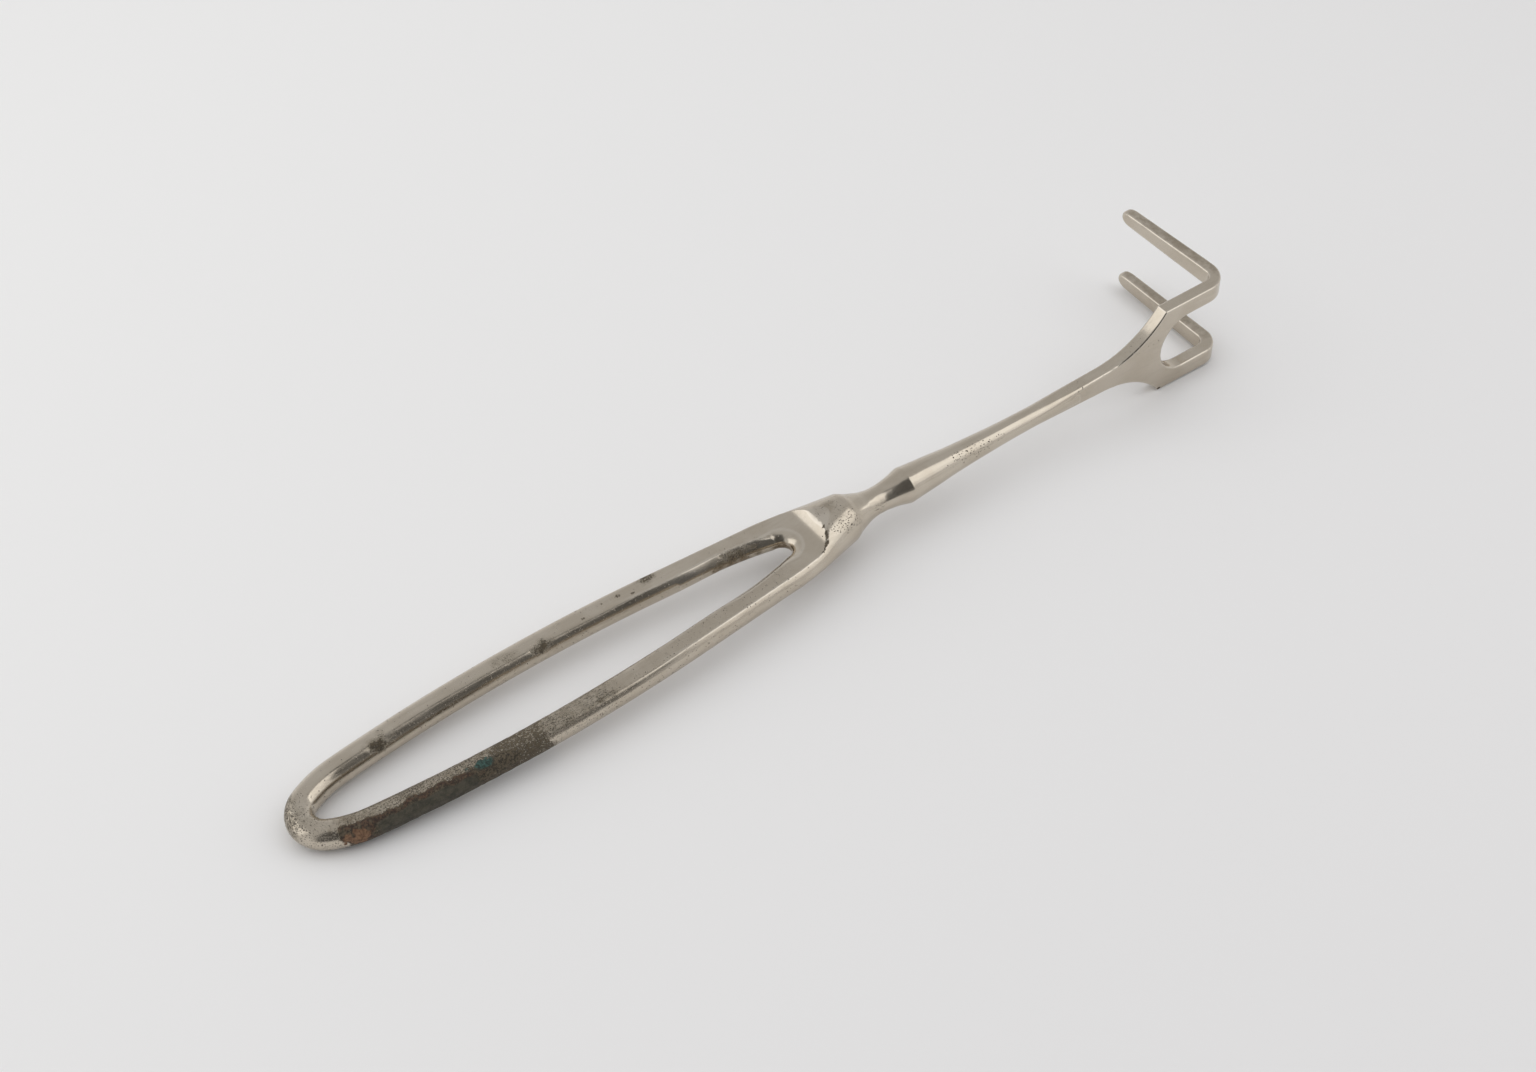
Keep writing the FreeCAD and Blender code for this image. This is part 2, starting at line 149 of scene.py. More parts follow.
def loop_pieces():
    """The rails' centre line as arcs (centre, radius, start and end angle) and one straight run."""
    half, sweep = HALF_WIDTH, math.radians(NOSE_SWEEP)
    nose_c = np.array([RAIL_R + NOSE_R, 0.0])
    way = np.array([-math.cos(sweep), math.sin(sweep)])
    cheek_c = nose_c - way * (CHEEK_R - NOSE_R)
    reach = np.array([WIDEST_AT, half]) - cheek_c
    front_r = (reach @ reach - CHEEK_R ** 2) / (2 * (reach[1] - CHEEK_R))
    front_c = np.array([WIDEST_AT, half - front_r])
    cheek_way = (cheek_c - front_c) / np.linalg.norm(cheek_c - front_c)
    run, drop = ENTRY_X - WIDEST_AT, half - ENTRY_HALF
    side_r = (run ** 2 + drop ** 2) / (2 * drop)
    side_c = np.array([WIDEST_AT, half - side_r])
    entry = np.array([ENTRY_X, ENTRY_HALF])
    out = (entry - side_c) / side_r
    run_end = entry + np.array([out[1], -out[0]]) * RAIL_RUN
    tail_c = run_end - out * TAIL_R

    def angle(v):
        return math.atan2(v[1], v[0])

    arcs = [(nose_c, NOSE_R, angle(way), math.pi),
            (cheek_c, CHEEK_R, angle(cheek_way), angle(way)),
            (front_c, front_r, math.pi / 2, angle(cheek_way)),
            (side_c, side_r, angle(out), math.pi / 2),
            (tail_c, TAIL_R, angle(out) - math.radians(TAIL_ANGLE), angle(out))]
    return arcs, entry, run_end


ARCS, RUN_A, RUN_B = loop_pieces()
neck_width, neck_height = curve_through(NECK, 1), curve_through(NECK, 2)
opening_half, flat_height = curve_through(OPENING), curve_through(FLAT)
stem_radius = curve_through(STEM)
blend_y, blend_z, blend_r = (curve_through(BLEND, c) for c in (1, 2, 3))


def centre_line(x, y):
    """Distance to the rails' centre line in the loop's plane, y not negative."""
    best = np.full(x.shape, 1e3)
    for (cx, cy), r, a0, a1 in ARCS:
        dx, dy = x - cx, y - cy
        mid, half = (a0 + a1) / 2, (a1 - a0) / 2
        turn = np.arctan2(dy * math.cos(mid) - dx * math.sin(mid), dx * math.cos(mid) + dy * math.sin(mid))
        inside = np.abs(turn) <= half
        best = np.where(inside, np.minimum(best, np.abs(np.hypot(dx, dy) - r)), best)
    way = (RUN_B - RUN_A) / np.linalg.norm(RUN_B - RUN_A)
    t = np.clip((x - RUN_A[0]) * way[0] + (y - RUN_A[1]) * way[1], 0, RAIL_RUN)
    best = np.minimum(best, np.hypot(x - RUN_A[0] - way[0] * t, y - RUN_A[1] - way[1] * t))
    centre, r, last, _ = ARCS[-1]
    end = centre + r * np.array([math.cos(last), math.sin(last)])
    return np.minimum(best, np.hypot(x - end[0], y - end[1]))


def in_handle(x, y):
    """Place along and across the handle, which is set at a small angle; across isn't negative."""
    c, s = math.cos(SET_ANGLE), math.sin(SET_ANGLE)
    return X_SHOULDER + c * (x - X_SHOULDER) + s * y, np.abs(c * y - s * (x - X_SHOULDER))


def neck_oval(x, y, z):
    """Distance to the neck's oval section."""
    a, b = neck_width(x), neck_height(x)
    g = np.sqrt((y / a) ** 2 + (z / b) ** 2) + 1e-9
    return (g - 1) * g / (np.sqrt((y / a ** 2) ** 2 + (z / b ** 2) ** 2) + 1e-6)


def milled(x, z):
    """Distance to the milled flat and, past it, to the scoop."""
    scoop = SCOOP_R - np.hypot(x - SCOOP_X, z - (FLAT_Z + SCOOP_R))
    return np.where(x > SCOOP_X, scoop, z - flat_height(x))


def handle(p):
    """Rails, neck, opening, milled flats and scoop."""
    x, y = in_handle(p[0], p[1])
    z = np.abs(p[2])
    rail = np.hypot(centre_line(x, y), z) - RAIL_R
    oval = eased_max(np.maximum(neck_oval(x, y, z), NECK_FROM - x), x - NECK_END, NECK_EASE)
    web = np.maximum(z - WEB_HALF - WEB_GAIN * ramp(x, *WEB_RISE), y - WEB_WIDTH)
    web = np.maximum(web, np.maximum(WEB_FROM - x, x - WEB_TO))
    body = blended_min(blended_min(rail, web, WEB_FILLET), oval, NECK_FILLET)
    # flats and scoop, soft where the flats leave the round rails
    body = eased_max(body, milled(x, z), FLAT_EASE + FLAT_GAIN * (1 - ramp(x, *FLAT_FADE)))
    # opening at the neck: walls that bulge like the rails, a well rounded end
    swell = (SPREAD + SPREAD_GAIN * ramp(x, *SPREAD_RISE)) * (z / FLAT_Z) ** 2 - BULGE
    side = opening_half(np.minimum(x, END_X)) + swell - y
    end = END_R + swell - np.hypot(x - END_X, y)
    hole = np.where(x > END_X, end, side)
    cut = eased_max(body, hole, HOLE_EASE + HOLE_GAIN * ramp(x, *HOLE_RISE))
    return np.where(x > CUT_FROM, cut, body)


def stem(p):
    """Boss cove, waist, collar and tapering shank."""
    r = stem_radius(p[0])
    slope = (stem_radius(p[0] + 0.05) - stem_radius(p[0] - 0.05)) / 0.1
    d = (np.hypot(p[1], p[2]) - r) / np.sqrt(1 + slope ** 2)
    return np.maximum(d, np.maximum(STEM_FROM - p[0], p[0] - STEM_TO))


def shank(p):
    """The round shank flattens into the fork plate."""
    hy, hz, r = blend_y(p[0]), blend_z(p[0]), blend_r(p[0])
    section = rounded(np.abs(p[1]) - hy + r, np.abs(p[2]) - hz + r, r)
    return np.maximum(section, np.maximum(SHANK_FROM - p[0], p[0] - SHANK_TO))


def fork(p):
    """Plate, arms and prongs: a bent strip, its flared outline and its slot, edges eased."""
    x, y = p[0], p[1]
    up = p[2] > 0
    z = np.abs(p[2])
    tip = np.where(up, TIP_UP, TIP_LOW)
    t = np.clip(y / tip, 0, 1)
    r_out = np.where(up, BEND_OUT_UP, BEND_OUT_LOW)
    outer = rounded(x - (X_END - r_out), -PLATE_HALF + r_out - y, r_out)
    thick = ROOT_THICK + (TIP_THICK - ROOT_THICK) * t
    inner = rounded(x - (X_END - thick - BEND_IN), PLATE_HALF + BEND_IN - y, BEND_IN)
    strip = eased_max(outer, -inner, 0.02)
    cz = FLARE_HALF + FLARE_R
    flare = np.where(x > X_FLARE, FLARE_R - np.hypot(x - X_FLARE, z - cz), z - FLARE_HALF)
    flare = np.where(z > cz, -1.0, flare)
    flare = np.where(x > X_FLARE + FLARE_R, -1.0, flare)
    taper = OUTER_TAPER * np.clip((y - r_out) / (tip - r_out), 0, 1)
    side = z - (FORK_HALF - taper)
    outline = np.maximum(flare, side)
    slot = np.where(x < SLOT_X, SLOT_HALF - np.hypot(x - SLOT_X, z), SLOT_HALF - z)
    round_r = (FORK_HALF - OUTER_TAPER - SLOT_HALF) / 2
    tip_round = np.hypot(np.maximum(y - tip + round_r, 0), z - (SLOT_HALF + round_r)) - round_r
    sides = np.where(y > tip - round_r, tip_round, np.maximum(outline, slot))
    body = eased_max(strip, sides, EASE + TIP_EASE * ramp(y, tip - TIP_RISE[0], tip - TIP_RISE[1]))
    return np.maximum(body, FORK_FROM - x)


def solid(p):
    """Distance to the whole instrument, below zero inside it."""
    return np.minimum(np.minimum(handle(p), stem(p)), np.minimum(shank(p), fork(p)))


# Mesh: one vertex in each cell that the surface crosses, set on its edges and corners

def spaced(*legs):
    """Grid stations: (from, to, spacing) legs that follow each other."""
    parts = [np.linspace(a, b, max(2, int(round((b - a) / h)) + 1)) for a, b, h in legs]
    return np.unique(np.concatenate(parts))


GX = spaced((-0.7, 14.0, 0.26), (14.0, 104.0, 0.55), (104.0, 136.0, 0.3), (136.0, 194.0, 0.55),
            (194.0, 210.5, 0.3), (210.5, 216.7, 0.24))
GY = spaced((-13.8, 10.2, 0.25), (10.2, 27.0, 0.6), (27.0, 30.4, 0.26))
GZ = spaced((-11.2, 11.2, 0.243))
AXES = (GX, GY, GZ)
# Value away from the surface, and grid planes that are worked out at once
FAR, PLANES = 9.0, 24
# Share of the strongest pull under which a direction hardly holds a vertex, and so isn't followed
LOOSE = 0.06


def field():
    """The distance on the grid, worked out only round the instrument."""
    values = np.full((len(GX), len(GY), len(GZ)), FAR, np.float32)
    # round the handle, the shank and the fork
    boxes = [((-1, 137), (-14, 10.5), (-5.7, 5.7)), ((137, 184), (-4.4, 4.4), (-4.4, 4.4)),
             ((184, 217), (-3, 31), (-11.5, 11.5))]
    for limits in boxes:
        keep = [np.nonzero((g >= lo) & (g <= hi))[0] for g, (lo, hi) in zip(AXES, limits)]
        for block in np.array_split(keep[0], max(1, len(keep[0]) // PLANES)):
            grids = np.meshgrid(GX[block], GY[keep[1]], GZ[keep[2]], indexing="ij")
            values[np.ix_(block, keep[1], keep[2])] = solid(grids)
    return values


def slope_of(p, h=0.004):
    """Normals of the surface at the points whose X, Y and Z are p, one point a row."""
    parts = []
    for k in range(3):
        a, b = [q.copy() for q in p], [q.copy() for q in p]
        a[k] = a[k] + h
        b[k] = b[k] - h
        parts.append((solid(a) - solid(b)) / (2 * h))
    g = np.stack(parts, 1)
    return g / np.maximum(np.linalg.norm(g, axis=1, keepdims=True), 1e-9)


def crossings(values):
    """Grid edges that the surface crosses: axis, cell index, whether it goes from inside to outside."""
    inside = values < 0
    for axis in range(3):
        lo = [slice(None)] * 3
        hi = [slice(None)] * 3
        lo[axis], hi[axis] = slice(0, -1), slice(1, None)
        here, there = inside[tuple(lo)], inside[tuple(hi)]
        index = np.argwhere(here != there)
        yield axis, index, here[tuple(index.T)]


def meet(axis, index, values):
    """Points where the surface meets those grid edges, narrowed down in seven steps."""
    ends = [np.array(AXES[k])[index[:, k]] for k in range(3)]
    a = ends[axis].copy()
    b = AXES[axis][index[:, axis] + 1].copy()
    up = index.copy()
    up[:, axis] += 1
    fa, fb = values[tuple(index.T)].astype(float), values[tuple(up.T)].astype(float)
    for turn in range(7):
        m = (a * fb - b * fa) / (fb - fa) if turn % 3 < 2 else (a + b) / 2
        p = list(ends)
        p[axis] = m
        fm = solid(p)
        same = (fm < 0) == (fa < 0)
        a, fa = np.where(same, m, a), np.where(same, fm, fa)
        b, fb = np.where(same, b, m), np.where(same, fb, fm)
    p = list(ends)
    p[axis] = np.where(np.abs(fa) < np.abs(fb), a, b)
    return p


def cell_vertices(found, shape):
    """Numbers of the cells that the surface crosses, and in each the point that fits its planes best."""
    cells, points, normals = [], [], []
    for axis, index, _, p, n in found:
        u, v = [k for k in range(3) if k != axis]
        for du in (0, 1):
            for dv in (0, 1):
                cell = index.copy()
                cell[:, u] -= du
                cell[:, v] -= dv
                cells.append(np.ravel_multi_index(cell.T, shape))
                points.append(p)
                normals.append(n)
    cells, points, normals = np.concatenate(cells), np.concatenate(points), np.concatenate(normals)
    names, which = np.unique(cells, return_inverse=True)
    count = np.bincount(which).astype(float)

    def total(w):
        return np.bincount(which, weights=w, minlength=len(names))

    mean = np.stack([total(points[:, k]) for k in range(3)], 1) / count[:, None]
    away = np.einsum("ij,ij->i", normals, points - mean[which])
    ata = np.zeros((len(names), 3, 3))
    for i in range(3):
        for j in range(i, 3):
            ata[:, i, j] = ata[:, j, i] = total(normals[:, i] * normals[:, j])
    atb = np.stack([total(normals[:, k] * away) for k in range(3)], 1)
    size, turn = np.linalg.eigh(ata)
    kept = np.where(size > LOOSE * size[:, 2:3], 1 / np.maximum(size, 1e-9), 0)
    step = np.einsum("nij,nj,nkj,nk->ni", turn, kept, turn, atb)
    low = np.stack(np.unravel_index(names, shape), 1)
    lo = np.stack([AXES[k][low[:, k]] for k in range(3)], 1)
    hi = np.stack([AXES[k][low[:, k] + 1] for k in range(3)], 1)
    return names, np.clip(mean + step, lo, hi)


def cell_quads(found, names, shape):
    """A quad round each crossed grid edge, facing outwards."""
    quads = []
    for axis, index, leaves, _, _ in found:
        u, v = [(1, 2), (2, 0), (0, 1)][axis]
        ring = []
        for du, dv in ((1, 1), (0, 1), (0, 0), (1, 0)):
            cell = index.copy()
            cell[:, u] -= du
            cell[:, v] -= dv
            ring.append(np.searchsorted(names, np.ravel_multi_index(cell.T, shape)))
        ring = np.stack(ring, 1)
        ring[~leaves] = ring[~leaves][:, ::-1]
        quads.append(ring)
    return np.concatenate(quads)


def fine_surface():
    """Vertices and quads of the surface, in the instrument's millimetres."""
    values = field()
    found = []
    for axis, index, leaves in crossings(values):
        p = meet(axis, index, values)
        found.append((axis, index, leaves, np.stack(p, 1), slope_of(p)))
    names, vertices = cell_vertices(found, values.shape)
    return vertices, cell_quads(found, names, values.shape)


def corner_normals(vertices, quads):
    """Normals a little inside each corner of each quad, so that edges stay crisp and faces smooth."""
    corners = vertices[quads]
    middle = corners.mean(1, keepdims=True)
    probe = (corners + 0.25 * (middle - corners)).reshape(-1, 3)
    return slope_of([probe[:, k].copy() for k in range(3)])


def turned(vectors):
    """Vectors of the instrument, one a row, as they stand in the row frame."""
    c, s = math.cos(PITCH), math.sin(PITCH)
    pitch = np.array([[c, 0, -s], [0, 1, 0], [s, 0, c]])
    c, s = math.cos(ROLL), math.sin(ROLL)
    roll = np.array([[1, 0, 0], [0, c, s], [0, -s, c]])
    return vectors @ (pitch @ roll).T


def to_row(points):
    """From the instrument's millimetres to metres in the row frame."""
    return (turned(points) + SHIFT) / 1000.0


# Wear: where plating is pitted, stained or gone, and the relief that it leaves

# Random values that the smooth noise runs through
CELLS = 24
LATTICE = np.random.default_rng(11).random((CELLS, CELLS, CELLS))
# Spots of wear: centre, radii along X, Y and Z in millimetres, strength
GRIME_SPOTS = [((21.0, 3.3, 1.9), (3.2, 2.0, 1.8), 1.0), ((55.2, 5.4, 1.9), (2.6, 1.6, 1.4), 0.95),
               ((57.0, -11.6, 2.2), (4.2, 1.7, 1.0), 0.75), ((79.1, 7.9, 2.2), (2.3, 1.4, 0.8), 0.85),
               ((48.0, 6.6, 2.2), (3.0, 1.3, 1.0), 0.5), ((97.3, 3.8, 1.0), (6.0, 1.4, 1.5), 0.75),
               ((116.0, -2.6, 4.1), (3.4, 2.6, 1.6), 0.15)]
PIT_SPOTS = [((116.3, -3.9, 3.4), (4.6, 2.0, 1.9), 1.0), ((116.0, 0.2, 4.8), (3.4, 2.6, 1.4), 0.55),
             ((125.6, -2.4, 0.6), (1.8, 1.2, 1.5), 0.7), ((149.3, -1.9, 1.7), (8.5, 1.4, 1.4), 0.65),
             ((76.0, -8.0, 2.1), (8.0, 2.0, 0.8), 0.45), ((189.0, -0.8, 4.0), (9.0, 1.6, 1.8), 0.3),
             ((176.5, -0.5, 2.1), (2.5, 1.6, 0.8), 0.4)]
FILM_SPOTS = [((97.5, 3.6, 0.0), (9.0, 1.8, 2.0), 1.0), ((105.3, 1.2, -0.6), (2.4, 3.4, 1.5), 1.0),
              ((8.5, -9.0, 1.9), (4.5, 1.8, 1.6), 0.6), ((115.0, 0.8, 4.7), (2.4, 2.4, 1.0), 0.4),
              ((215.4, 16.0, 10.4), (2.4, 16.0, 1.0), 0.5), ((215.4, 16.0, -6.9), (2.4, 16.0, 1.0), 0.45)]
STAIN_SPOTS = [((21.0, 3.2, 1.9), (2.2, 1.4, 1.4), 0.62), ((55.2, 5.4, 1.9), (1.6, 1.0, 1.0), 0.58),
               ((79.1, 7.9, 2.2), (1.3, 1.0, 0.7), 0.52), ((198.3, -1.3, -10.2), (0.7, 0.5, 0.6), 0.8),
               ((57.3, -11.7, 2.2), (1.6, 0.8, 0.8), 0.48), ((72.6, 7.4, 2.3), (0.8, 0.55, 0.5), 0.62),
               ((69.3, 7.3, 2.3), (0.7, 0.5, 0.5), 0.62), ((75.2, 6.3, 2.2), (0.9, 0.4, 0.5), 0.58),
               ((64.5, 6.4, 2.4), (0.8, 0.5, 0.5), 0.55)]
CLAY_SPOTS = [((9.6, -11.2, 0.2), (3.4, 2.0, 2.4), 1.0)]
RED_SPOTS = [((30.5, -12.0, 1.7), (5.0, 1.3, 1.3), 0.6)]
GREEN_SPOTS = [((33.4, -11.7, 2.3), (2.3, 1.3, 1.2), 0.95), ((30.4, -11.2, 2.4), (1.0, 0.8, 0.8), 0.8),
               ((56.6, -11.4, 2.3), (0.7, 0.6, 0.7), 0.7)]


def clouds(p, size, seed=0.0):
    """Smooth noise from 0 to 1 with features of a size in millimetres; p holds one point a row."""
    q = p / size + 37.0 + seed * 7.31
    i = np.floor(q).astype(int)
    t = q - i
    t = t * t * (3 - 2 * t)
    total = np.zeros(len(p))
    for dx in (0, 1):
        for dy in (0, 1):
            for dz in (0, 1):
                w = np.abs(1 - dx - t[:, 0]) * np.abs(1 - dy - t[:, 1]) * np.abs(1 - dz - t[:, 2])
                total += w * LATTICE[(i[:, 0] + dx) % CELLS, (i[:, 1] + dy) % CELLS, (i[:, 2] + dz) % CELLS]
    return total


def blots(p, spots):
    """Soft spots with ragged rims."""
    total = np.zeros(len(p))
    rag = (clouds(p, 1.1) - 0.5) * 0.7 + (clouds(p, 0.5, 3) - 0.5) * 0.5
    for centre, radii, strength in spots:
        d = np.linalg.norm((p - np.array(centre)) / np.array(radii), axis=1)
        total = np.maximum(total, strength * (1 - ramp(d + rag, 0.35, 1.15)))
    return total


def arris(p):
    """Distance to the line where the scoop and the flat run out on the boss, on the upper side."""
    x, y = in_handle(p[:, 0], p[:, 1])
    z = np.abs(p[:, 2])
    line = np.hypot(neck_oval(x, y, z), milled(x, z))
    return np.where((p[:, 2] > 0) & (x > RUN_OUT[0]) & (x < RUN_OUT[1]), line, FAR)


def wear(p, n):
    """Strength from 0 to 1 of each kind of wear at points p with normals n.

    The limits of a ramp along x are stations in millimetres, and rag makes its edge ragged."""
    x = p[:, 0]
    across = p[:, 1] + math.tan(SET_ANGLE) * (X_SHOULDER - x)
    handle_only = 1 - ramp(x, 100, 108)
    near, far = ramp(-across, 0.5, 3.0) * handle_only, ramp(across, 0.5, 3.0) * handle_only
    rag = clouds(p, 2.6, 1) * 0.6 + clouds(p, 0.9, 2) * 0.4 - 0.5
    outer, up = -n[:, 1], n[:, 2]
    # near rail by the nose: plating gone from the outer side, crest and top grained with dirt
    flaked = near * ramp(x + 3.0 * rag, 6.3, 7.2)
    crisp = 1 - ramp(x + 1.6 * rag, 45.9, 46.7)
    patched = 1 - 0.46 * ramp(x + 5 * rag, 35, 41)
    side = flaked * crisp * ramp(outer + 0.65 * rag, -0.12, 0.5) * patched
    heavy = flaked * ramp(x + 7 * rag, 29, 36) * (1 - ramp(x + 5 * rag, 43, 52)) * 0.56
    black = np.maximum(side, heavy * (1 + 0.5 * rag))
    crest = np.maximum(1 - ramp(x + 3 * rag, 45, 47), ramp(up + 0.5 * rag, 0.45, 0.75))
    patchy = 0.86 + 0.6 * (clouds(p, 5.0, 9) - 0.5)
    fading = (1 - 0.5 * ramp(x + 7 * rag, 46, 58)) * (1 - ramp(x + 7 * rag, 58, 66))
    nose = (1 - ramp(x + 5 * rag, 1.5, 5.5)) * ramp(up + 0.8 * rag, -0.1, 0.4) * ramp(p[:, 1], -7.0, -4.5)
    grime = np.maximum.reduce([
        near * crest * patchy * ramp(x + 3 * rag, 6.5, 9.5) * fading,
        0.85 * patchy * nose,
        0.12 * far * (1 - ramp(x, 58, 72)) * ramp(outer, 0.6, 0.9),
        blots(p, GRIME_SPOTS)])
    pits = np.maximum.reduce([
        0.75 * near * (1 - ramp(x + 8 * rag, 56, 66)), 0.07 * far, 0.12 * near,
        0.9 * (1 - ramp(x + 5 * rag, 3.5, 8.0)) * ramp(up + 0.6 * rag, -0.2, 0.45),
        0.16 * far * ramp(x, 24, 30) * (1 - ramp(x, 58, 72)) * ramp(outer, 0.5, 0.8),
        blots(p, PIT_SPOTS)])
    film = np.maximum.reduce([
        0.14 * far * ramp(outer, 0.1, 0.5) * (1 - ramp(x, 99, 106)), 0.12 * near, blots(p, FILM_SPOTS)])
    # stains through the plating, and dirt along the scoop's edge
    line = arris(p) + 0.6 * (clouds(p, 0.8, 4) - 0.4)
    dirt = 0.68 * (1 - ramp(line, 0.1, 0.45)) * ramp(x, 106, 111) * (1 - ramp(across, 1.2, 3.2))
    black = np.maximum(black, np.maximum(blots(p, STAIN_SPOTS), dirt))
    # tints of the rust: red along the rim and clay at the nose; slate on the outer side, and green
    rim = flaked * crisp * ramp(outer + 0.5 * rag, 0.1, 0.3) * (1 - ramp(outer + 0.9 * rag, 0.42, 0.75))
    warm = near * np.maximum.reduce([
        blots(p, CLAY_SPOTS), 0.5 * rim * (1 - ramp(x + 5 * rag, 31, 37)), blots(p, RED_SPOTS)])
    outside = flaked * crisp * ramp(outer + 0.3 * rag, 0.55, 0.72) * ramp(x, 11.5, 14.0)
    cool = np.maximum(0.5 * outside * (1 - ramp(x + 5 * rag, 28, 36)), blots(p, GREEN_SPOTS))
    return dict(pits=pits, black=black, film=film, grime=grime, warm=warm, cool=cool)


def edges(p, h=0.3):
    """How sharply the surface turns outwards: 1 on the corners that hands and cloths rub bright."""
    turn = np.zeros(len(p))
    here = solid([p[:, k] for k in range(3)])
    for k in range(3):
        for way in (-h, h):
            q = [p[:, i] + (way if i == k else 0.0) for i in range(3)]
            turn += (solid(q) - here) / h ** 2
    return ramp(turn, 0.8, 2.4)


def relief(p, n):
    """How deep the surface lies below its clean form: grained where it is worn, uneven elsewhere."""
    w = wear(p, n)
    rough = np.maximum(w["black"], 0.5 * w["grime"])
    grain = clouds(p, 0.75, 5) ** 2 * 0.12 + clouds(p, 1.7, 6) * 0.05
    return rough * grain + 0.02 * clouds(p, 7.0, 8) * (1 - ramp(p[:, 0], 100, 110))


# Build the piece

# Mesh attributes that carry the wear to the material, up to three kinds in each
WEAR_LAYERS = {"wear_one": ("pits", "black", "film"), "wear_two": ("warm", "cool", "grime"),
               "wear_three": ("edge",)}


def slope_of_relief(p, n, h=0.05):
    """How the relief's depth changes along X, Y and Z."""
    parts = []
    for k in range(3):
        move = np.zeros(3)
        move[k] = h
        parts.append((relief(p + move, n) - relief(p - move, n)) / (2 * h))
    return np.stack(parts, 1)


def build_piece():
    """The whole instrument as one mesh, with its wear as attributes and its own corner normals."""
    vertices, quads = fine_surface()
    clean = slope_of([vertices[:, k].copy() for k in range(3)])
    corner = corner_normals(vertices, quads)
    marks = wear(vertices, clean)
    marks["edge"] = edges(vertices)
    sunk = vertices - clean * relief(vertices, clean)[:, None]
    corner = corner + slope_of_relief(vertices, clean)[quads].reshape(-1, 3)
    corner /= np.linalg.norm(corner, axis=1, keepdims=True)
    mesh = bpy.data.meshes.new("plated_retractor")
    mesh.from_pydata(to_row(sunk).tolist(), [], quads.tolist())
    mesh.polygons.foreach_set("use_smooth", np.ones(len(quads), bool))
    for name, keys in WEAR_LAYERS.items():
        layer = mesh.attributes.new(name, "FLOAT_COLOR", "POINT")
        values = np.ones((len(vertices), 4))
        for k, key in enumerate(keys):
            values[:, k] = np.clip(marks[key], 0, 1)
        layer.data.foreach_set("color", values.ravel())
    mesh.normals_split_custom_set(turned(corner).tolist())
    mesh.update()
    piece = bpy.data.objects.new("plated_retractor", mesh)
    bpy.context.scene.collection.objects.link(piece)
    print("fine mesh:", len(vertices), "vertices", 2 * len(quads), "triangles")
    return piece


# Linear colours of the metal; the two of a pair are mixed by noise
NICKEL = (0.595, 0.535, 0.45, 1), (0.55, 0.488, 0.402, 1)
STREAK, RUBBED = (0.48, 0.42, 0.345, 1), (0.68, 0.625, 0.545, 1)
BROWN = (0.15, 0.112, 0.07, 1), (0.27, 0.21, 0.142, 1)
DIRT = (0.42, 0.37, 0.295, 1), (0.255, 0.215, 0.155, 1)
GRAIN, PIT = (0.062, 0.05, 0.034, 1), (0.055, 0.045, 0.032, 1)
RUST, PALE_RUST = ((0.034, 0.026, 0.016, 1), (0.125, 0.098, 0.062, 1)), (0.2, 0.165, 0.112, 1)
RED = (0.04, 0.024, 0.016, 1), (0.12, 0.068, 0.041, 1)
CLAY = (0.12, 0.06, 0.032, 1), (0.265, 0.15, 0.082, 1)
SLATE = (0.042, 0.041, 0.029, 1), (0.088, 0.08, 0.058, 1)
TEAL = (0.022, 0.036, 0.029, 1), (0.052, 0.115, 0.098, 1)
# Layers of pits: cells in a millimetre, share of the strength, size of a pit in cells
PIT_LAYERS = ((3.4, 1.0, 0.5), (2.1, 0.42, 0.4), (1.3, 0.16, 0.3))


